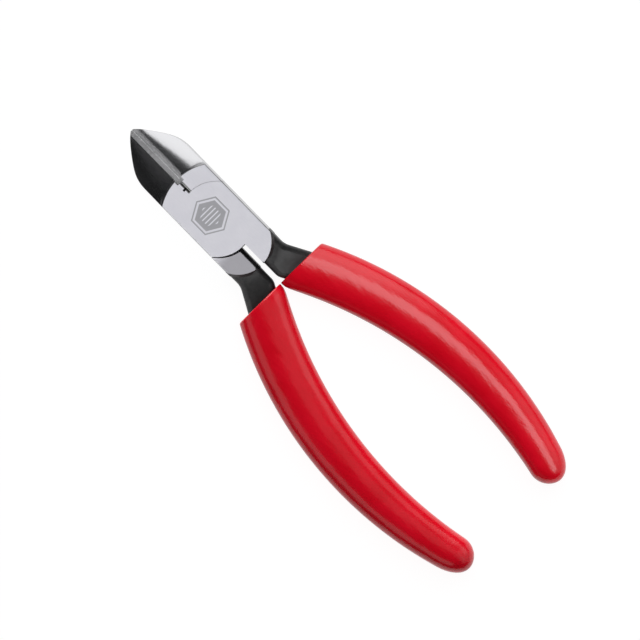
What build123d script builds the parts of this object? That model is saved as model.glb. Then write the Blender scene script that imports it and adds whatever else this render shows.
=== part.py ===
from build123d import *

# Lap-joint diagonal cutting pliers, 140 mm long, with thick dipped vinyl grips.
#
# Frame: the pivot's axis is the Z axis, the closed jaws point along +X, and the tool lies flat on
# the plane z = 0. Each half is one forging: its jaw is on one side of the X axis and its handle on
# the other, and the two cross in a lap joint, where each keeps a cheek of half the head's thickness.
# The halves are built in one orientation, jaw at +y and handle at -y, and the second is mirrored.

import os
from math import cos, hypot, radians, sin, sqrt, tan

# Head and lap joint
HEAD_WIDTH = 15.5
HEAD_THICKNESS = 9.0
CHEEK_RADIUS = 9.6  # each cheek ends in an arc about the pivot
POCKET_CLEARANCE = 0.08  # round the cheek, on the jaw's side
POCKET_RELIEF = (-0.6, 0.3)  # the pocket opens by this much more towards the handles
LAP_CLEARANCE = 0.03  # each lap face stands back from the lap plane
LAND_FRONT_RADIUS = 14.1  # the ground face ends in this arc about the pivot, at the jaws
LAND_REAR_RADIUS = 8.5  # and in this one at the handles
LAND_REAR_X = -7.8  # which is centred here
HEAD_EDGE_FILLET = 0.35
JAW_SLOT = 0.56  # between the roots of the jaws
SHANK_SLOT = 1.52  # between the roots of the handles
SLOT_LEDGE = 1.55  # the pocket's side of the handle's root stands this far from the X axis
LEDGE_END_X = -16.5

# Rivet, ground flush with both faces
RIVET_RADIUS = 2.4
RIVET_HEAD_RADIUS = 3.1
RIVET_HEAD_DEPTH = 1.0
RIVET_RUNNING_CLEARANCE = 0.03

# Jaws
TIP_X = 31.5
EDGE_GAP = 0.04  # between the closed cutting edges
EDGE_HEIGHT = 1.2  # of the cutting edge above the back face
EDGE_FLAT = 0.08
BAND_WIDTH = 1.1  # of the steep ground facet along the edge
BAND_ANGLE = 50.0
THROAT_LENGTH = 1.15  # the facets run this far into the head, where the slot takes over
BEVEL_MIDDLE = (4.7, 6.07)  # y and z of the convex bevel at the jaw's root
BEVEL_OUTSIDE = (11.0, 9.94)  # and of its far end, past the jaw's side
BEVEL_APEX_X = 36.0  # the bevel narrows towards a point beyond the tip
BEVEL_ROOT_X = 14.0  # where the two points above hold
ROOT_WALL_DRAFT = 4.0
BACK_BEVEL_WIDTH = 3.2
BACK_TAPER_START_X = 23.0
BACK_TAPER_RISE = 0.7
ROOT_WALL_FILLET = 0.4
NOTCH_X = 10.95  # a small relief beside the slot, in the front half only
NOTCH_WIDTH = 0.6
NOTCH_DEPTH = 1.05

# Handle: the forged tang that the grip covers, between two arcs
TANG_THICKNESS = 5.0
TANG_OUTER_APEX, TANG_OUTER_RADIUS = (-71.5, 24.4), 97.0
TANG_INNER_APEX, TANG_INNER_RADIUS = (-79.0, 16.2), 115.7
TANG_END_X = -104.3
TANG_FILLET = 1.7
SHANK_KNEE_X = -16.3  # where the shank leaves the line of the head's side
SHANK_KNEE_RADIUS = 5.0
SHANK_CROTCH_RADIUS = 3.0
SHANK_RIDGE_RADIUS = 8.7  # the shank slopes from here, about the rear ground face's centre,
SHANK_SETTLED_RADIUS = 18.0  # down to the tang's thickness here
SHANK_ROOT_DROP = 1.0  # its root stands this far below the ground faces

# Grip
GRIP_LIP_X = -22.9
GRIP_OUTER_APEX, GRIP_OUTER_RADIUS = (-71.5, 26.57), 105.0
GRIP_INNER_APEX, GRIP_INNER_RADIUS = (-79.0, 14.1), 112.0
GRIP_SHOULDER_X = -101.6  # where the rounded end starts
GRIP_END_POINTS = ((-106.7, -13.2), (-108.35, -16.3), (-106.6, -19.5))
GRIP_HALF_GAP = 0.15  # between the grips' inner corners and the XZ plane
GRIP_FILLET = 3.8
GRIP_LIP_FILLET = 0.9

HALF_WIDTH = HEAD_WIDTH / 2
LAP_Z = HEAD_THICKNESS / 2
MARGIN = 5.0  # how far the cutting shapes run past what they cut
EDGE_OVERRUN = -0.5  # and across the X axis, at the cutting edge
CHEEK_END_X = sqrt(CHEEK_RADIUS**2 - HALF_WIDTH**2)
ABOVE = HEAD_THICKNESS + MARGIN


def arc_centre(apex, radius):
    """Centre of an arc whose outermost point is the apex."""
    return (apex[0], apex[1] - radius)


def arc_y(apex, radius, x):
    """Distance from the X axis of a handle's arc at x."""
    centre = arc_centre(apex, radius)
    return centre[1] + sqrt(radius**2 - (x - centre[0]) ** 2)


def arc_x(apex, radius, y):
    """Where a handle's arc, on its way to the head, comes to a distance y from the X axis."""
    centre = arc_centre(apex, radius)
    return centre[0] + sqrt(radius**2 - (y - centre[1]) ** 2)


def slab(outline, bottom, top):
    """The solid between two heights above a closed outline in the XY plane."""
    return extrude(Pos(0, 0, bottom) * make_face(outline), top - bottom)


def drum(radius, bottom, top, x=0.0, y=0.0):
    """An upright cylinder."""
    centred = (Align.CENTER, Align.CENTER, Align.MIN)
    return Pos(x, y, bottom) * Cylinder(radius, top - bottom, align=centred)


def on_cheek(angle):
    """The point of the cheek's arc at an angle from the X axis."""
    return (CHEEK_RADIUS * cos(radians(angle)), CHEEK_RADIUS * sin(radians(angle)))


# ---------------------------------------------------------------- head


def head_outline():
    """Jaw, cheek and the handle's root, seen from above."""
    edge = EDGE_GAP / 2
    slot = JAW_SLOT / 2
    crotch = SHANK_SLOT / 2
    slot_start = LAND_FRONT_RADIUS - THROAT_LENGTH
    cheek_nose = (sqrt(CHEEK_RADIUS**2 - slot**2), slot)
    cheek_heel = (-sqrt(CHEEK_RADIUS**2 - crotch**2), -crotch)
    rear = LAND_REAR_X - LAND_REAR_RADIUS
    return Wire(
        [
            Line((TIP_X, edge), (TIP_X, 0.4)),
            Spline(
                (TIP_X, 0.4),
                (28.9, 2.8),
                (24.9, 5.6),
                (18.0, HALF_WIDTH),
                tangents=[(-1.0, 1.2), (-1.0, 0.0)],
            ),
            Line((18.0, HALF_WIDTH), (-CHEEK_END_X, HALF_WIDTH)),
            ThreePointArc((-CHEEK_END_X, HALF_WIDTH), on_cheek(155), cheek_heel),
            Line(cheek_heel, (rear, -crotch)),
            Line((rear, -crotch), (rear, -HALF_WIDTH)),
            Line((rear, -HALF_WIDTH), (CHEEK_END_X, -HALF_WIDTH)),
            ThreePointArc((CHEEK_END_X, -HALF_WIDTH), on_cheek(-25), cheek_nose),
            Line(cheek_nose, (slot_start, slot)),
            Line((slot_start, slot), (slot_start, edge)),
            Line((slot_start, edge), (TIP_X, edge)),
        ]
    )


def head_block():
    """The head at full thickness, with its ground faces and, towards the handle, a drafted rim."""
    block = slab(head_outline(), 0, HEAD_THICKNESS)
    sides = block.edges().filter_by(Axis.X).filter_by(
        lambda e: abs(abs(e.center().Y) - HALF_WIDTH) < 0.01
    )
    block = fillet(sides, HEAD_EDGE_FILLET)
    rim_drop, rim_spread = 1.1, 0.7
    rim = Polyline(
        (0, 0),
        (LAND_REAR_RADIUS, 0),
        (LAND_REAR_RADIUS + rim_spread, rim_drop),
        (LAND_REAR_RADIUS + rim_spread, HEAD_THICKNESS - rim_drop),
        (LAND_REAR_RADIUS, HEAD_THICKNESS),
        (0, HEAD_THICKNESS),
        close=True,
    )
    rounded_rear = Pos(LAND_REAR_X, 0, 0) * revolve(Plane.XZ * make_face(rim), Axis.Z)
    ahead = Pos(LAND_REAR_X, 0, 0) * Box(
        60, 40, 3 * HEAD_THICKNESS, align=(Align.MIN, Align.CENTER, Align.CENTER)
    )
    return (block & ahead) + (block & rounded_rear)


def on_band(y):
    """The point of the steep facet along the cutting edge at a distance y from the edge."""
    return (y, EDGE_HEIGHT + EDGE_FLAT + y * tan(radians(BAND_ANGLE)))


def bevel_section(x):
    """The space above the jaw's ground surfaces, cut across at x: steep band, then convex bevel."""
    share = (BEVEL_APEX_X - x) / (BEVEL_APEX_X - BEVEL_ROOT_X)
    start = on_band(EDGE_OVERRUN)
    corner = on_band(BAND_WIDTH)

    def narrowed(point):
        y, z = point
        return (corner[0] + share * (y - corner[0]), corner[1] + share * (z - corner[1]))

    outside = narrowed(BEVEL_OUTSIDE)
    outline = Wire(
        [
            Line(start, corner),
            ThreePointArc(corner, narrowed(BEVEL_MIDDLE), outside),
            Line(outside, (outside[0], ABOVE)),
            Line((outside[0], ABOVE), (start[0], ABOVE)),
            Line((start[0], ABOVE), start),
        ]
    )
    return Plane((x, 0, 0), x_dir=(0, 1, 0), z_dir=(1, 0, 0)) * make_face(outline)


def bevel_cutter():
    """What grinding takes off the jaw's front, up to the wall along the ground face's arc."""
    hollow = loft([bevel_section(10.0), bevel_section(34.0)], ruled=True)
    spread = tan(radians(ROOT_WALL_DRAFT))
    hollow -= Cone(
        LAND_FRONT_RADIUS + HEAD_THICKNESS * spread,
        LAND_FRONT_RADIUS - MARGIN * spread,
        ABOVE,
        align=(Align.CENTER, Align.CENTER, Align.MIN),
    )

    def at_wall_foot(edge):
        centre = edge.center()
        radius = hypot(centre.X, centre.Y)
        below_top = centre.Z < ABOVE - 1 and centre.Y > 0.2
        return LAND_FRONT_RADIUS < radius < BEVEL_ROOT_X + 3 and below_top and centre.X > 12

    return fillet(hollow.edges().filter_by(at_wall_foot), ROOT_WALL_FILLET)


def throat_cutter():
    """The short run of the steep facet past the ground face's arc, into the head."""
    outline = Polyline(
        on_band(EDGE_OVERRUN),
        on_band(BAND_WIDTH),
        (BAND_WIDTH, ABOVE),
        (EDGE_OVERRUN, ABOVE),
        close=True,
    )
    start = LAND_FRONT_RADIUS - THROAT_LENGTH
    plane = Plane((start, 0, 0), x_dir=(0, 1, 0), z_dir=(1, 0, 0))
    return extrude(plane * make_face(outline), THROAT_LENGTH + 1)


def back_cutter():
    """The shallow relief on the jaw's back: a bevel along the edge and a taper to the tip."""
    far = TIP_X + MARGIN
    drop = 1.0
    slope = EDGE_HEIGHT / BACK_BEVEL_WIDTH
    bevel = Polyline(
        (-drop, EDGE_HEIGHT + drop * slope),
        (BACK_BEVEL_WIDTH + drop, -drop * slope),
        (BACK_BEVEL_WIDTH + drop, -MARGIN),
        (-drop, -MARGIN),
        close=True,
    )
    plane = Plane((0, 0, 0), x_dir=(0, 1, 0), z_dir=(1, 0, 0))
    groove = extrude(plane * make_face(bevel), far)
    groove -= drum(LAND_FRONT_RADIUS, -2 * MARGIN, ABOVE)
    reach = TIP_X - BACK_TAPER_START_X
    wedge = Polyline(
        (BACK_TAPER_START_X, 0),
        (BACK_TAPER_START_X + 2 * reach, 2 * BACK_TAPER_RISE),
        (BACK_TAPER_START_X + 2 * reach, -MARGIN),
        (BACK_TAPER_START_X, -MARGIN),
        close=True,
    )
    taper = extrude(Plane.XZ * make_face(wedge), 2 * HEAD_WIDTH, both=True)
    return groove, taper


# ---------------------------------------------------------------- handle


def handle_arc(apex, radius, x_from, x_to):
    """A stretch of one of the handle's arcs, on the -y side."""

    def point(x):
        return (x, -arc_y(apex, radius, x))

    return ThreePointArc(point(x_from), point((x_from + x_to) / 2), point(x_to))


def tang_outline():
    """The shank and tang from under the head to the handle's end."""
    crotch = SHANK_SLOT / 2
    start = -7.0
    knee = (SHANK_KNEE_X, -HALF_WIDTH)
    lip_outer = (GRIP_LIP_X, -arc_y(TANG_OUTER_APEX, TANG_OUTER_RADIUS, GRIP_LIP_X))
    crotch_x = arc_x(TANG_INNER_APEX, TANG_INNER_RADIUS, crotch)
    end_outer = (TANG_END_X, -arc_y(TANG_OUTER_APEX, TANG_OUTER_RADIUS, TANG_END_X))
    end_inner = (TANG_END_X, -arc_y(TANG_INNER_APEX, TANG_INNER_RADIUS, TANG_END_X))
    outline = make_face(
        Wire(
            [
                Line((start, -crotch), (crotch_x, -crotch)),
                handle_arc(TANG_INNER_APEX, TANG_INNER_RADIUS, crotch_x, TANG_END_X),
                Line(end_inner, end_outer),
                handle_arc(TANG_OUTER_APEX, TANG_OUTER_RADIUS, TANG_END_X, GRIP_LIP_X),
                Line(lip_outer, knee),
                Line(knee, (start, -HALF_WIDTH)),
                Line((start, -HALF_WIDTH), (start, -crotch)),
            ]
        )
    )
    corners = outline.vertices()
    ends = corners.filter_by(lambda v: abs(v.X - TANG_END_X) < 0.01)
    outline = fillet(ends, 0.45 * (end_inner[1] - end_outer[1]))
    knees = outline.vertices().filter_by(lambda v: abs(v.X - SHANK_KNEE_X) < 0.01)
    outline = fillet(knees, SHANK_KNEE_RADIUS)
    crotches = outline.vertices().filter_by(lambda v: abs(v.X - crotch_x) < 0.01)
    return fillet(crotches, SHANK_CROTCH_RADIUS)


def shank_envelope():
    """The forging's thickness, falling from the head's rim to the flat tang."""
    high = LAP_Z - SHANK_ROOT_DROP
    low = TANG_THICKNESS / 2
    start, settled = SHANK_RIDGE_RADIUS, SHANK_SETTLED_RADIUS
    reach = 110.0

    def edge(sign):
        return [
            Line((0, sign * high), (start, sign * high)),
            Spline(
                (start, sign * high),
                (settled, sign * low),
                tangents=[(1.0, -sign * 0.45), (1.0, 0.0)],
            ),
            Line((settled, sign * low), (reach, sign * low)),
        ]

    profile = Wire(
        edge(1)
        + [Line((reach, low), (reach, -low))]
        + edge(-1)
        + [Line((0, -high), (0, high))]
    )
    return Pos(LAND_REAR_X, 0, LAP_Z) * revolve(Plane.XZ * make_face(profile), Axis.Z)


def long_edges(body):
    """The edges between a handle's flats and its sides, without the ridge across its root."""

    def wanted(edge):
        centre = edge.center()
        from_ridge = hypot(centre.X - LAND_REAR_X, centre.Y) - SHANK_RIDGE_RADIUS
        upright = abs(centre.Z - LAP_Z) < 0.1 or edge.bounding_box().size.Z > 1.6
        return not upright and abs(from_ridge) > 0.3

    return body.edges().filter_by(wanted)


def plain_shank():
    """Shank and tang, with the long edges rounded as they come out of the die."""
    body = extrude(tang_outline(), HEAD_THICKNESS) & shank_envelope()
    return fillet(long_edges(body), TANG_FILLET)


# ---------------------------------------------------------------- rivet and joint


def rivet(clearance=0.0):
    """A shank with a countersunk head at each end; grown by a clearance it is the hole for it."""
    shank_radius = RIVET_RADIUS + clearance
    head_radius = RIVET_HEAD_RADIUS + clearance
    profile = Polyline(
        (0, 0),
        (head_radius, 0),
        (shank_radius, RIVET_HEAD_DEPTH),
        (shank_radius, HEAD_THICKNESS - RIVET_HEAD_DEPTH),
        (head_radius, HEAD_THICKNESS),
        (0, HEAD_THICKNESS),
        close=True,
    )
    return revolve(Plane.XZ * make_face(profile), Axis.Z)


def pocket(cheek_is_upper):
    """What a half gives up to the other half's cheek, with the ledge in the slot behind it."""
    if cheek_is_upper:
        bottom, top = -MARGIN, LAP_Z + LAP_CLEARANCE
    else:
        bottom, top = LAP_Z - LAP_CLEARANCE, ABOVE
    radius = CHEEK_RADIUS + POCKET_CLEARANCE
    hole = drum(radius, bottom, top) + drum(radius, bottom, top, *POCKET_RELIEF)
    ledge = Box(
        -LEDGE_END_X, 2 * SLOT_LEDGE, top - bottom, align=(Align.MAX, Align.CENTER, Align.MIN)
    )
    return hole + Pos(0, 0, bottom) * ledge


def half(cheek_is_upper):
    """One forging, jaw at +y and handle at -y."""
    body = head_block() - bevel_cutter() - throat_cutter()
    for cutter in back_cutter():
        body -= cutter
    body += plain_shank()
    body -= pocket(cheek_is_upper)
    if cheek_is_upper:
        notch = Box(NOTCH_WIDTH, 2 * NOTCH_DEPTH, HEAD_THICKNESS - LAP_Z)
        body -= Pos(NOTCH_X, 0, (HEAD_THICKNESS + LAP_Z) / 2) * notch
        return body - rivet()
    return body - rivet(RIVET_RUNNING_CLEARANCE)


# ---------------------------------------------------------------- grip


def grip_outline():
    """The dipped grip from its lip to its rounded end."""
    touch_x = arc_x(GRIP_INNER_APEX, GRIP_INNER_RADIUS, GRIP_HALF_GAP)
    outer_arc = handle_arc(GRIP_OUTER_APEX, GRIP_OUTER_RADIUS, GRIP_SHOULDER_X, GRIP_LIP_X)
    inner_arc = handle_arc(GRIP_INNER_APEX, GRIP_INNER_RADIUS, touch_x, GRIP_SHOULDER_X)
    end = Spline(
        inner_arc @ 1,
        *GRIP_END_POINTS,
        outer_arc @ 0,
        tangents=[inner_arc % 1, outer_arc % 0],
    )
    corner = (GRIP_LIP_X, -GRIP_HALF_GAP)
    lip = Line(outer_arc @ 1, corner)
    touching = Line(corner, inner_arc @ 0)
    return make_face(Wire([lip, touching, inner_arc, end, outer_arc]))


def grip():
    """A thick round-edged sleeve whose cavity is the tang."""
    body = extrude(grip_outline(), HEAD_THICKNESS)
    long = body.edges().filter_by(
        lambda e: abs(e.center().Z - LAP_Z) > 4 and abs(e.center().X - GRIP_LIP_X) > 0.1
    )
    body = fillet(long, GRIP_FILLET)
    rim = body.edges().filter_by(lambda e: abs(e.center().X - GRIP_LIP_X) < 0.01)
    body = fillet(rim, GRIP_LIP_FILLET)
    return body - plain_shank()


if __name__ == "__main__":
    os.makedirs("parts", exist_ok=True)
    nodes = {
        "front_half": half(True),
        "rear_half": mirror(half(False), Plane.XZ),
        "joint_rivet": rivet(),
        "front_half_grip": grip(),
        "rear_half_grip": mirror(grip(), Plane.XZ),
    }
    for name, solid in nodes.items():
        export_step(solid, f"parts/{name}.step")
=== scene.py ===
from math import cos, hypot, pi, radians, sin, sqrt, tan

import bmesh
import bpy
from mathutils import Matrix, Vector, noise


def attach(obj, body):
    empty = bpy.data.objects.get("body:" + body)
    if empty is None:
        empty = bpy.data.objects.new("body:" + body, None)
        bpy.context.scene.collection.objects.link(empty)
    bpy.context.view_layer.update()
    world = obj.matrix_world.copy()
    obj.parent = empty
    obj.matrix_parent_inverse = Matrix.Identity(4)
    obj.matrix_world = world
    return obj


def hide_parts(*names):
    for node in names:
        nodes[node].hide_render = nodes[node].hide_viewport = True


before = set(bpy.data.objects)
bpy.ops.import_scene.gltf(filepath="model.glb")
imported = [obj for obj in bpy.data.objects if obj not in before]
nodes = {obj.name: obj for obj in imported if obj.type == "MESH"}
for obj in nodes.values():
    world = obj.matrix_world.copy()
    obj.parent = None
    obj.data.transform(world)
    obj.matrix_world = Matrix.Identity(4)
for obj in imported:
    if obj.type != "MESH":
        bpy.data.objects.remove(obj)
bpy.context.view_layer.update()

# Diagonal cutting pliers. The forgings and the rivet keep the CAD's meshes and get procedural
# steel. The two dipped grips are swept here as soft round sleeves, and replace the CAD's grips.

MM = 0.001

# The tool's own measurements, in millimetres, in the frame of the CAD, where the backs are at z = 0
TOP = 9.0  # the front faces of the head and of the grips
LAP_Z = TOP / 2
LAND_FRONT_RADIUS = 14.1  # the ground face ends in this arc about the pivot, at the jaws
LAND_REAR_X, LAND_REAR_RADIUS = -7.8, 8.5  # and in this one at the handles: centre and radius
THROAT_X = LAND_FRONT_RADIUS - 1.15  # where the jaws' slot ends and the steep facets start
BAND_WIDTH = 1.1  # of the steep facets along the cutting edges
SLOT_END_X = -9.4  # the handles' slot, seen from either face, ends just past here
SLOT_SIDE = 0.76  # the wall of that slot stands this far from the X axis
SLOT_LEDGE = 1.55  # and this far at the height of the other half's cheek
LIP_X = -22.9
GRIP_SHOULDER_X = -101.6  # the grips' rounded ends start here
GRIP_END_X = -108.35
GRIP_HALF_GAP = 0.05  # the grips' inner sides keep more than this from the XZ plane
GRIP_BLEND = 0.5  # and bend away from it over about this much
GRIP_END_SLOPE, GRIP_END_BEND = 0.253, 0.0226  # of the middle line of a grip's rounded end
GRIP_OUTER = (-71.5, 26.57, 105.0)  # apex x and y, then the arc's radius
GRIP_INNER = (-79.0, 14.1, 112.0)
TANG_OUTER = (-71.5, 24.4, 97.0)
TANG_INNER = (-79.0, 16.2, 115.7)
TANG_END_X = -104.3
TANG_BACK, TANG_FRONT = LAP_Z - 2.5, LAP_Z + 2.5
LIP_ROUND = 0.4  # radius of the round over the lip
MOUTH_ROUND = 0.35  # and of the one into the mouth round the tang

# Colours of the steel and of the vinyl. A pair holds the two ends of a variation.
GROUND_TONES = (0.84, 0.835, 0.90), (0.88, 0.875, 0.935)
GRAIN_TONE = (0.76, 0.755, 0.82)
BEHIND_TONE = (0.305, 0.293, 0.315)
SIDE_TONE = (0.52, 0.52, 0.53)
# the jaw bevel at -y, then the darker tone, a painted shade, for the one at +y
BEVEL_LIT_AND_SHADED_TONES = (0.86, 0.86, 0.88), (0.52, 0.52, 0.53)
SCRATCH_TONES = (0.26, 0.26, 0.265), (0.70, 0.70, 0.71)
THROAT_TONE = (0.85, 0.85, 0.86)
# painted shade at the foot of the jaw's wall: nearly black, lighter towards -y past 3 mm
FOOT_SHADE_TONES = (0.04, 0.04, 0.042), (0.45, 0.45, 0.46)
SOOT_TONES = (0.010, 0.010, 0.011), (0.024, 0.023, 0.023)
ETCH_TONE = (0.28, 0.28, 0.295)
VINYL_TONES = (0.56, 0.0015, 0.010), (0.61, 0.0025, 0.014)


# ---------------------------------------------------------------- node helpers


class Graph:
    """Short names for the math nodes of one material."""

    def __init__(self, name):
        self.material = bpy.data.materials.new(name)
        self.material.use_nodes = True
        self.tree = self.material.node_tree
        self.tree.nodes.clear()
        self.shader = self.tree.nodes.new("ShaderNodeBsdfPrincipled")
        out = self.tree.nodes.new("ShaderNodeOutputMaterial")
        self.link(self.shader.outputs[0], out.inputs["Surface"])
        coords = self.tree.nodes.new("ShaderNodeTexCoord")
        self.mm = self.vector("SCALE", coords.outputs["Object"], scale=1 / MM)
        split = self.tree.nodes.new("ShaderNodeSeparateXYZ")
        self.link(self.mm, split.inputs[0])
        self.x, self.y, self.z = split.outputs
        facing = self.tree.nodes.new("ShaderNodeSeparateXYZ")
        self.link(coords.outputs["Normal"], facing.inputs[0])
        self.nx, self.ny, self.nz = facing.outputs

    def link(self, source, target):
        self.tree.links.new(source, target)

    def put(self, socket, value):
        """A constant or another node's output into a socket."""
        if isinstance(value, (int, float, tuple)):
            socket.default_value = value
        else:
            self.link(value, socket)

    def math(self, operation, *values):
        node = self.tree.nodes.new("ShaderNodeMath")
        node.operation = operation
        for socket, value in zip(node.inputs, values):
            self.put(socket, value)
        return node.outputs[0]

    def vector(self, operation, *values, scale=None):
        node = self.tree.nodes.new("ShaderNodeVectorMath")
        node.operation = operation
        for socket, value in zip(node.inputs, values):
            self.put(socket, value)
        if scale is not None:
            node.inputs["Scale"].default_value = scale
        return node.outputs[0]

    def minus(self, a, b):
        return self.math("SUBTRACT", a, b)

    def magnitude(self, value):
        return self.math("ABSOLUTE", value)

    def product(self, first, *others):
        """The values multiplied together. Of masks, it is where all of them hold."""
        for other in others:
            first = self.math("MULTIPLY", first, other)
        return first

    def largest(self, first, *others):
        """The largest of the values. Of masks, it is where any of them holds."""
        for other in others:
            first = self.math("MAXIMUM", first, other)
        return first

    def ramp(self, value, low, high, to_low=0.0, to_high=1.0):
        """value, from low to high, becomes to_low to to_high with a smooth start and end."""
        node = self.tree.nodes.new("ShaderNodeMapRange")
        node.interpolation_type = "SMOOTHSTEP"
        for name, given in (
            ("Value", value),
            ("From Min", low),
            ("From Max", high),
            ("To Min", to_low),
            ("To Max", to_high),
        ):
            self.put(node.inputs[name], given)
        return node.outputs[0]

    def noise(self, scale, detail=2.0, stretch=(1.0, 1.0, 1.0), roughness=0.5):
        """Noise from 0 to 1 whose scale is per millimetre."""
        node = self.tree.nodes.new("ShaderNodeTexNoise")
        node.inputs["Scale"].default_value = scale
        node.inputs["Detail"].default_value = detail
        node.inputs["Roughness"].default_value = roughness
        self.link(self.vector("MULTIPLY", self.mm, stretch), node.inputs["Vector"])
        return node.outputs["Fac"]

    def mix(self, factor, a, b):
        """A colour or a number between a and b."""
        node = self.tree.nodes.new("ShaderNodeMix")
        if isinstance(a, tuple) or isinstance(b, tuple) or getattr(a, "type", "") == "RGBA":
            node.data_type = "RGBA"
            ins, out = (node.inputs[6], node.inputs[7]), node.outputs[2]
            a, b = [v + (1.0,) if isinstance(v, tuple) and len(v) == 3 else v for v in (a, b)]
        else:
            node.data_type = "FLOAT"
            ins, out = (node.inputs[2], node.inputs[3]), node.outputs[0]
        self.put(node.inputs[0], factor)
        self.put(ins[0], a)
        self.put(ins[1], b)
        return out

    def radius(self, x=0.0):
        """Distance from the upright axis that crosses the X axis at x."""
        across = self.minus(self.x, x)
        squares = self.product(across, across), self.product(self.y, self.y)
        return self.math("SQRT", self.math("ADD", *squares))

    def bump(self, height, distance, strength, normal=None):
        """A normal with a relief of up to the distance, in millimetres."""
        node = self.tree.nodes.new("ShaderNodeBump")
        node.inputs["Strength"].default_value = strength
        node.inputs["Distance"].default_value = distance * MM
        self.link(height, node.inputs["Height"])
        if normal is not None:
            self.link(normal, node.inputs["Normal"])
        return node.outputs[0]


def shank_mask(g, slot_sides):
    """The blackened root of a handle: past the ground face's rear arc, or inside the slot."""
    from_rear = g.radius(LAND_REAR_X)
    wander = g.ramp(g.noise(0.9, 3), 0.3, 0.7, -0.06, 0.06)
    past_arc = g.minus(from_rear, g.math("ADD", wander, LAND_REAR_RADIUS + 0.08))
    side = g.mix(g.ramp(g.z, LAP_Z - 0.1, LAP_Z + 0.1), *slot_sides)
    in_slot = g.math("MINIMUM", g.minus(side, g.magnitude(g.y)), g.minus(SLOT_END_X, g.x))
    beyond = g.math("SMOOTH_MAX", past_arc, g.minus(in_slot, 0.05), 2.0)
    shank = g.product(g.ramp(beyond, 0.0, 0.1), g.ramp(g.x, -7.5, -8.0))
    rim = g.product(
        g.ramp(g.magnitude(g.nz), 0.95, 0.85),
        g.ramp(g.x, -8.5, -9.0),
        g.ramp(from_rear, LAND_REAR_RADIUS - 0.15, LAND_REAR_RADIUS - 0.1),
    )
    return g.largest(shank, rim)


def slot_shade_mask(g):
    """The insides of both slots, and a line along both lips of the jaws' slot, painted dark as shade.
    """
    from_edge = g.magnitude(g.y)
    before_throat = g.ramp(g.x, THROAT_X + 0.03, THROAT_X)
    sunk = g.product(g.ramp(g.z, TOP - 0.5, TOP - 0.9), g.ramp(g.z, 0.5, 0.9))
    rear_slot = g.product(g.ramp(from_edge, 2.0, 1.9), g.ramp(g.x, -8.8, -9.0))
    front_slot = g.product(g.ramp(from_edge, 1.3, 1.2), g.ramp(g.x, 8.8, 9.0), before_throat)
    inside = g.product(g.largest(rear_slot, front_slot), sunk)
    lips = g.product(
        g.ramp(from_edge, 0.52, 0.44),
        g.ramp(g.x, 9.4, 9.6),
        before_throat,
        g.ramp(g.z, TOP - 1.0, TOP - 0.6),
    )
    return g.largest(inside, lips)


def jaw_masks(g):
    """The jaw's bevel, the steep facet along its edge, and the foot of the wall at its root."""
    from_pivot = g.radius()
    ahead = g.product(
        g.ramp(from_pivot, LAND_FRONT_RADIUS - 0.02, LAND_FRONT_RADIUS + 0.04),
        g.ramp(g.x, 9.0, 10.0),
    )
    throat = g.product(
        g.ramp(g.x, THROAT_X - 0.01, THROAT_X + 0.02),
        g.ramp(g.z, TOP - 0.1, TOP - 0.2),
        g.ramp(g.magnitude(g.y), BAND_WIDTH + 0.06, BAND_WIDTH + 0.02),
    )
    jaw = g.largest(ahead, throat)
    bevel = g.product(jaw, g.ramp(g.nz, 0.05, 0.2))
    near_edge = g.product(g.ramp(g.y, BAND_WIDTH + 0.06, BAND_WIDTH - 0.04), g.ramp(g.y, -0.95, -0.8))
    # the foot of the wall is where painted shade goes
    foot = g.product(
        g.ramp(g.nx, 0.12, 0.25),
        g.ramp(g.nz, -0.2, -0.1),
        g.ramp(from_pivot, LAND_FRONT_RADIUS + 1.3, LAND_FRONT_RADIUS + 1.1),
        jaw,
    )
    return bevel, g.product(bevel, near_edge), foot


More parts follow.
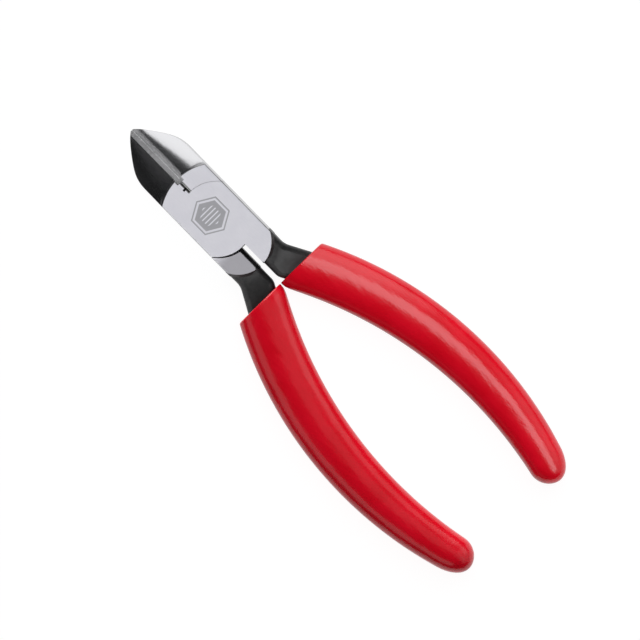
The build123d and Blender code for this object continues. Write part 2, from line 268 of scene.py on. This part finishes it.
def tool_steel(name, slot_sides, sheen_grey, emblem=False, behind_darkening=0.0):
    """One forging: satin ground faces, polished jaw bevel, coarse edge band, blackened shank.

    slot_sides are the distances of the wall of the handles' slot from the X axis, below and
    above the lap plane. sheen_grey is the grey of a sheen painted on the shank's flat parts.
    emblem adds the etched mark. behind_darkening darkens the ground face towards the handles.
    """
    g = Graph(name)
    # the blackened shank, and the slots and the lips of the jaws' slot painted dark as shade
    blackened_and_shaded = g.largest(slot_shade_mask(g), shank_mask(g, slot_sides))
    bevel, band, foot = jaw_masks(g)
    upright = g.magnitude(g.nz)
    face = g.ramp(upright, 0.9, 0.97)

    grain = g.noise(2.2, 4, (0.25, 3.0, 0.25), 0.6)
    cloud = g.noise(0.25, 3)
    cross = g.noise(3.0, 4, (2.6, 0.35, 0.35), 0.7)
    forged = g.noise(1.1, 5, roughness=0.65)

    ground = g.mix(g.ramp(cloud, 0.3, 0.7), *GROUND_TONES)
    ground = g.mix(g.ramp(grain, 0.35, 0.65, 0.0, 0.35), ground, GRAIN_TONE)
    # Darker towards the handles, near the front face, by the given share.
    behind = g.product(g.ramp(g.x, -6.0, -10.0), g.ramp(g.z, TOP - 0.5, TOP - 0.1))
    ground = g.mix(g.product(behind, behind_darkening), ground, BEHIND_TONE)
    # Painted shade: the polished bevel of the jaw at +y gets the darker tone, the one at -y the
    # lighter.
    polished = g.mix(g.ramp(g.y, -0.1, 0.1), *BEVEL_LIT_AND_SHADED_TONES)
    scratched = g.mix(g.ramp(cross, 0.3, 0.7), *SCRATCH_TONES)
    scratched = g.mix(g.ramp(g.x, 26.0, 13.0, 0.0, 0.7), scratched, THROAT_TONE)
    # Painted shade in the crease at the foot of the wall at the jaw's root, lighter towards -y.
    shade = g.mix(g.ramp(g.y, -3.0, -6.5), *FOOT_SHADE_TONES)
    # Painted sheen: on the shank's flat faces the colour turns in patches to the given grey, lighter
    # than the black on the front half and about as dark on the rear half.
    painted_sheen = g.product(g.ramp(upright, 0.97, 0.995), g.ramp(cloud, 0.35, 0.65, 0.6, 1.0))
    shank_black_and_sheen = g.mix(g.ramp(forged, 0.35, 0.7), *SOOT_TONES)
    shank_black_and_sheen = g.mix(painted_sheen, shank_black_and_sheen, (sheen_grey, sheen_grey, sheen_grey * 1.02))

    colour = g.mix(face, SIDE_TONE, ground)
    rough = g.ramp(grain, 0.2, 0.8, 0.36, 0.44)
    for mask, tone, roughness in (
        (bevel, polished, g.ramp(cross, 0.2, 0.8, 0.19, 0.23)),
        (band, scratched, 0.42),
        (foot, shade, 0.5),
        (blackened_and_shaded, shank_black_and_sheen, g.ramp(forged, 0.3, 0.7, 0.42, 0.52)),
    ):
        colour = g.mix(mask, colour, tone)
        rough = g.mix(mask, rough, roughness)
    if emblem:
        mark = hexagon_mark(g)
        colour = g.mix(g.product(mark, 0.8), colour, ETCH_TONE)
        rough = g.mix(mark, rough, 0.55)
    metallic = g.mix(band, g.mix(face, 1.0, 0.3), 0.5)

    g.put(g.shader.inputs["Base Color"], colour)
    g.put(g.shader.inputs["Roughness"], rough)
    g.put(g.shader.inputs["Metallic"], g.mix(blackened_and_shaded, metallic, 0.15))
    relief = g.bump(g.product(grain, g.mix(bevel, 1.0, 0.15)), 0.004, 0.5)
    relief = g.bump(g.product(cross, band), 0.03, 0.8, relief)
    relief = g.bump(g.product(forged, blackened_and_shaded), 0.12, 0.5, relief)
    g.put(g.shader.inputs["Normal"], relief)
    return g.material


def hexagon_mark(g):
    """An etched hexagon in a thin outline, with four bright bars and two dots, on the front face."""
    middle_x, middle_y = 1.7, 0.5
    size = 3.6  # from the middle to a flat side
    along = g.minus(g.x, middle_x)
    y = g.magnitude(g.minus(g.y, middle_y))
    slanted = g.math("ADD", g.product(g.magnitude(along), 0.866), g.product(y, 0.5))
    distance = g.largest(slanted, y)
    inside = g.ramp(distance, size, size - 0.12)
    outline = g.product(
        g.ramp(distance, size + 0.45, size + 0.5), g.ramp(distance, size + 0.85, size + 0.8)
    )
    wave = g.math("PINGPONG", g.math("ADD", along, 10.0), 1.0)
    from_bar = g.magnitude(g.minus(wave, 0.5))
    bars = g.product(g.ramp(from_bar, 0.2, 0.12), g.ramp(distance, 2.4, 2.3))
    mark = g.largest(g.product(inside, g.minus(1.0, bars)), outline)
    return g.product(mark, g.ramp(g.z, TOP - 0.2, TOP - 0.1))


def vinyl(name):
    """Glossy red dipped vinyl with the faint ripples of a dipped skin."""
    g = Graph(name)
    cloud = g.noise(0.12, 3)
    ripple = g.noise(0.45, 2, (0.35, 1.0, 1.0))
    fine = g.noise(3.0, 3)
    colour = g.mix(g.ramp(cloud, 0.3, 0.7), *VINYL_TONES)
    g.put(g.shader.inputs["Base Color"], colour)
    g.put(g.shader.inputs["Roughness"], g.ramp(fine, 0.3, 0.7, 0.17, 0.23))
    g.put(g.shader.inputs["IOR"], 1.5)
    soft = g.bump(ripple, 0.25, 0.35)
    g.put(g.shader.inputs["Normal"], g.bump(fine, 0.006, 0.3, soft))
    return g.material


# ---------------------------------------------------------------- grips


def arc_y(arc, x):
    """Distance from the X axis of one of the handle's arcs at x."""
    apex_x, apex_y, radius = arc
    return apex_y - radius + sqrt(radius**2 - (x - apex_x) ** 2)


def rounded_off(share, power):
    """Half the width of a rounded end, from 1 at its shoulder (share 0) to 0 at its tip (share 1)."""
    return max(0.0, 1 - share**power) ** (1 / power)


def grip_edges(x):
    """Inner and outer distances of the grip from the X axis at x, to the rounded end."""
    if x > GRIP_SHOULDER_X:
        inner = arc_y(GRIP_INNER, x)
        inner = (inner + GRIP_HALF_GAP + hypot(inner - GRIP_HALF_GAP, GRIP_BLEND)) / 2
        return inner, arc_y(GRIP_OUTER, x)
    inner, outer = arc_y(GRIP_INNER, GRIP_SHOULDER_X), arc_y(GRIP_OUTER, GRIP_SHOULDER_X)
    past = GRIP_SHOULDER_X - x
    middle = (inner + outer) / 2 - GRIP_END_SLOPE * past + GRIP_END_BEND * past**2
    half = (outer - inner) / 2 * rounded_off(past / (GRIP_SHOULDER_X - GRIP_END_X), 1.95)
    return middle - half, middle + half


# Points round each section of a grip, and sections along each of its stretches
AROUND = 72
END_RINGS, LONG_RINGS, LIP_RINGS, MOUTH_RINGS, SOCKET_RINGS = 16, 70, 6, 4, 40


def ring(x, inner, outer, low, high, power):
    """One closed section of a sleeve, across the tool at x: a rounded rectangle."""

    def bulge(value):
        return abs(value) ** (2 / power) * (1 if value > 0 else -1)

    points = []
    for i in range(AROUND):
        angle = 2 * pi * i / AROUND
        y = (inner + outer) / 2 + bulge(cos(angle)) * (outer - inner) / 2
        z = (low + high) / 2 + bulge(sin(angle)) * (high - low) / 2
        points.append(Vector((x, y, z)))
    return points


def skin_rings():
    """Sections of the outside, from the rounded end to the lip and round over it."""
    rings = []
    for i in range(1, END_RINGS + 1):
        turn = i / (END_RINGS + 1)
        share = cos(pi / 2 * turn)
        x = GRIP_SHOULDER_X - (GRIP_SHOULDER_X - GRIP_END_X) * share
        half = LAP_Z * rounded_off(share, 2.3)
        rings.append(ring(x, *grip_edges(x), LAP_Z - half, LAP_Z + half, 2.0 + 0.25 * turn))
    for i in range(LONG_RINGS + 1):
        x = GRIP_SHOULDER_X + (LIP_X - LIP_ROUND - GRIP_SHOULDER_X) * i / LONG_RINGS
        rings.append(ring(x, *grip_edges(x), 0.0, TOP, 2.25 - 0.1 * i / LONG_RINGS))
    for i in range(1, LIP_RINGS + 1):
        turn = pi / 2 * i / LIP_RINGS
        x = LIP_X - LIP_ROUND + LIP_ROUND * sin(turn)
        shrink = LIP_ROUND * (1 - cos(turn))
        inner, outer = grip_edges(min(x, LIP_X))
        rings.append(ring(x, inner + 0.3 * shrink, outer - shrink, shrink, TOP - shrink, 2.15))
    return rings


def socket_rings():
    """Sections of the inside, from the mouth round the tang down to the tang's end."""
    rings = []
    corners = 4.2  # a power that keeps the socket nearly rectangular, like the tang
    for i in range(MOUTH_RINGS + 1):
        turn = pi / 2 * i / MOUTH_RINGS
        x = LIP_X - MOUTH_ROUND + MOUTH_ROUND * cos(turn)
        grow = MOUTH_ROUND * (1 - sin(turn))
        inner, outer = arc_y(TANG_INNER, LIP_X) - grow, arc_y(TANG_OUTER, LIP_X) + grow
        rings.append(ring(x, inner, outer, TANG_BACK - grow, TANG_FRONT + grow, corners))
    for i in range(1, SOCKET_RINGS + 1):
        x = LIP_X - MOUTH_ROUND + (TANG_END_X + 0.3 - LIP_X + MOUTH_ROUND) * i / SOCKET_RINGS
        inner, outer = arc_y(TANG_INNER, x), arc_y(TANG_OUTER, x)
        rings.append(ring(x, inner, outer, TANG_BACK, TANG_FRONT, corners))
    return rings


def make_grip(name, side, body, node, material):
    """A dipped grip; side is -1 for the half whose handle is at -y."""
    skin = skin_rings()
    rings = skin + socket_rings()
    mesh = bmesh.new()

    def vertex(x, y, z):
        return mesh.verts.new((x * MM, side * y * MM, z * MM))

    rows = []
    for index, section in enumerate(rings):  # a slow wave thins the outside by up to 1.2%
        row = []
        for p in section:
            wave = noise.noise(Vector((p.x * 0.09, p.y * 0.12, p.z * 0.15 + side * 7.0)))
            swell = 1 - 0.006 * (1 + wave) if index < len(skin) - 1 else 1.0
            row.append(vertex(p.x, p.y, LAP_Z + (p.z - LAP_Z) * swell))
        rows.append(row)
    for a, b in zip(rows, rows[1:]):
        for i in range(AROUND):
            j = (i + 1) % AROUND
            mesh.faces.new((a[i], a[j], b[j], b[i]))
    tip = vertex(GRIP_END_X, sum(grip_edges(GRIP_END_X + 0.001)) / 2, LAP_Z)
    last = rings[-1]
    stop = vertex(last[0].x, sum(p.y for p in last) / AROUND, LAP_Z)
    for i in range(AROUND):
        j = (i + 1) % AROUND
        mesh.faces.new((rows[0][j], rows[0][i], tip))
        mesh.faces.new((rows[-1][i], rows[-1][j], stop))
    bmesh.ops.recalc_face_normals(mesh, faces=mesh.faces)
    data = bpy.data.meshes.new(name)
    mesh.to_mesh(data)
    mesh.free()
    data.shade_smooth()
    piece = bpy.data.objects.new(name, data)
    bpy.context.scene.collection.objects.link(piece)
    data.materials.append(material)
    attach(piece, body)
    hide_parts(node)
    return piece


# ---------------------------------------------------------------- the tool

# The third value of each is the grey of the sheen painted on its shank's flat faces.
steels = {
    "front_half": tool_steel("front_half_steel", (SLOT_LEDGE, SLOT_SIDE), 0.07, emblem=True),
    "rear_half": tool_steel("rear_half_steel", (SLOT_SIDE, SLOT_LEDGE), 0.009, behind_darkening=0.65),
    "joint_rivet": tool_steel("joint_rivet_steel", (0.0, 0.0), 0.022, emblem=True),
}
for node_name, steel in steels.items():
    for holder in nodes[node_name].material_slots:
        holder.material = steel

front_grip = make_grip("front_grip_dipped", -1, "front", "front_half_grip", vinyl("front_vinyl"))
rear_grip = make_grip("rear_grip_dipped", 1, "rear", "rear_half_grip", vinyl("rear_vinyl"))


# ---------------------------------------------------------------- studio

TOOL_MIDDLE = Vector((-36.0, 0.0, 4.0)) * MM
FLOOR_DROP = 0.05 * MM  # the floor lies this far under the tool


def glowing_paper(name, colour, glow):
    """Matt paper that glows a little, so that it stays near white under the shadows."""
    material = bpy.data.materials.new(name)
    material.use_nodes = True
    shader = material.node_tree.nodes["Principled BSDF"]
    shader.inputs["Base Color"].default_value = (*colour, 1.0)
    shader.inputs["Roughness"].default_value = 0.9
    shader.inputs["Specular IOR Level"].default_value = 0.1
    shader.inputs["Emission Color"].default_value = (1.0, 1.0, 1.0, 1.0)
    shader.inputs["Emission Strength"].default_value = glow
    return material


def level_sheet(name, size, height, material):
    """A square sheet of the studio, level at a height."""
    half = size / 2
    corners = [(sx * half, sy * half, height) for sx, sy in ((-1, -1), (1, -1), (1, 1), (-1, 1))]
    data = bpy.data.meshes.new(name)
    data.from_pydata(corners, [], [(0, 1, 2, 3)])
    sheet = bpy.data.objects.new(name, data)
    bpy.context.scene.collection.objects.link(sheet)
    data.materials.append(material)
    return sheet


def facing(place, across, away):
    """The transform of a lamp or a camera at a place, with its back turned to away."""
    turned = Matrix((across, away.cross(across), away)).transposed()
    return Matrix.Translation(place) @ turned.to_4x4()


def softbox(name, lean_x, lean_y, distance, width, height, radiance, lights_up):
    """A rectangular light that lights only some objects.

    From straight above the tool's middle it leans lean_x degrees to +x and lean_y to +y.
    """
    data = bpy.data.lights.new(name, "AREA")
    data.shape = "RECTANGLE"
    data.size, data.size_y = width, height
    data.energy = radiance * pi * width * height
    lamp = bpy.data.objects.new(name, data)
    bpy.context.scene.collection.objects.link(lamp)
    away = Vector((tan(radians(lean_x)), tan(radians(lean_y)), 1.0)).normalized()
    across = Vector((1, 0, 0))
    across = (across - away * across.dot(away)).normalized()
    lamp.matrix_world = facing(TOOL_MIDDLE + away * distance, across, away)
    lamp.visible_camera = False
    receivers = bpy.data.collections.new(name + "_lights")
    for thing in lights_up:
        receivers.objects.link(thing)
    lamp.light_linking.receiver_collection = receivers


paper = glowing_paper("floor_paper", (0.16, 0.16, 0.162), 0.955)
floor = level_sheet("studio_floor", 6.0, -FLOOR_DROP, paper)

world = bpy.data.worlds.new("studio")
world.use_nodes = True
background = world.node_tree.nodes["Background"]
background.inputs["Color"].default_value = (0.95, 0.97, 1.0, 1.0)
background.inputs["Strength"].default_value = 0.014
bpy.context.scene.world = world

steel_pieces = [nodes[node_name] for node_name in steels]

# Leans in degrees, the distance and the sizes in metres, the radiance, and what it lights.
# The vinyl: a long box overhead for each grip, leaning to -y, bright for the front grip
softbox("front_key", 0, -14, 0.8, 2.0, 0.33, 3.6, [front_grip])
softbox("rear_key", 0, -9, 0.8, 2.0, 0.34, 0.38, [rear_grip])
# dimmer boxes low on both sides, for the streaks along the edges
softbox("front_outer_side", 0, -52, 0.9, 1.4, 0.4, 0.35, [front_grip])
softbox("rear_inner_side", 0, -52, 0.9, 1.4, 0.4, 0.75, [rear_grip])
softbox("front_inner_side", 0, 68, 0.9, 1.4, 0.2, 0.12, [front_grip])
softbox("rear_outer_side", 0, 52, 0.9, 1.4, 0.4, 0.75, [rear_grip])
# and fill from both ends, which the grips' sides do not mirror
softbox("front_tip_fill", 50, -48, 1.2, 1.4, 1.3, 1.75, [front_grip])
softbox("front_end_fill", -50, -48, 1.2, 1.4, 1.3, 0.65, [front_grip])
softbox("rear_tip_fill", 50, -45, 1.2, 1.4, 1.3, 4.1, [rear_grip])
softbox("rear_end_fill", -50, -45, 1.2, 1.4, 1.3, 0.5, [rear_grip])
# The steel: a low box on the +y side for the jaw bevel, one beyond each end for the ground faces
softbox("bevel_side", 0, 56.5, 0.9, 1.4, 0.82, 0.95, steel_pieces)
softbox("steel_tip_end", 50, 0, 1.0, 0.9, 1.3, 2.15, steel_pieces)
softbox("steel_grip_end", -50, 0, 1.0, 0.9, 1.3, 2.15, steel_pieces)
# The floor
softbox("floor_light", 20, -30, 1.6, 2.0, 2.0, 1.2, [floor])

# ---------------------------------------------------------------- camera

TILT = radians(3.3)  # from straight above the tool, towards -y
TURN = radians(45.75)  # of the picture, about the upright axis
DISTANCE = 1.3
FRAME_WIDTH = 0.1625  # what the picture spans at the target
target = Vector((-36.6, -0.77, 6.0)) * MM
back = Vector((0.0, -sin(TILT), cos(TILT)))
right = Vector((-cos(TURN), -sin(TURN), 0.0))
right = (right - back * right.dot(back)).normalized()
lens = bpy.data.cameras.new("camera")
lens.lens = lens.sensor_width * DISTANCE / FRAME_WIDTH
lens.clip_start, lens.clip_end = 0.05, 20.0
camera = bpy.data.objects.new("camera", lens)
bpy.context.scene.collection.objects.link(camera)
camera.matrix_world = facing(target + back * DISTANCE, right, back)
bpy.context.scene.camera = camera
bpy.context.scene.view_settings.view_transform = "Standard"
